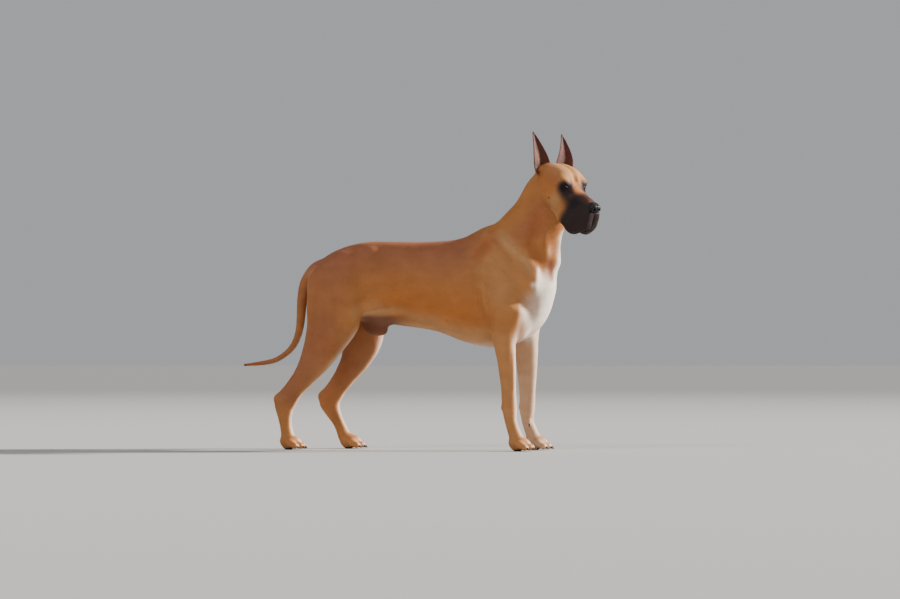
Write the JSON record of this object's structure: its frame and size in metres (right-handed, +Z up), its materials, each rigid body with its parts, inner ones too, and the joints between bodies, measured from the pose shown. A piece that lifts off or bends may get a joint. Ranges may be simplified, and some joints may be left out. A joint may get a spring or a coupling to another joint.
{
  "type": "great dane",
  "caption": "Great Dane dog standing alert, head turned to its right, ears erect, mouth closed and tail hanging in a long curve, as a still life-size model.",
  "frame": {"origin": "on the floor, below the middle of the model's bounding box", "axes": "+X from the tail towards the chest, +Y to the dog's left, +Z up"},
  "size_m": [1.487, 0.344, 1.2347],
  "materials": {
    "fawn": "short sleek fawn coat",
    "cream": "short sleek coat, paler",
    "mask": "short black coat of the mask",
    "ear_brown": "thin dark brown coat over the ear",
    "nose_leather": "moist pebbled nose leather",
    "eye_brown": "wet dark brown eye"
  },
  "bodies": {
    "root": {"chest": "fawn", "loin": "fawn", "rump": "fawn", "neck": "fawn", "head": "fawn", "tail_root": "fawn", "tail_middle": "fawn", "tail_tip": "fawn", "forearm_left": "cream", "fore_pastern_left": "fawn", "fore_paw_left": "fawn", "thigh_left": "fawn", "shank_left": "cream", "hind_pastern_left": "cream", "hind_paw_left": "fawn", "forearm_right": "fawn", "fore_pastern_right": "fawn", "fore_paw_right": "fawn", "thigh_right": "fawn", "shank_right": "fawn", "hind_pastern_right": "fawn", "hind_paw_right": "fawn", "jaw": "mask", "nose": "nose_leather", "eye_left": "eye_brown", "eye_right": "eye_brown", "ear_left": "ear_brown", "ear_right": "ear_brown"}
  },
  "joints": []
}
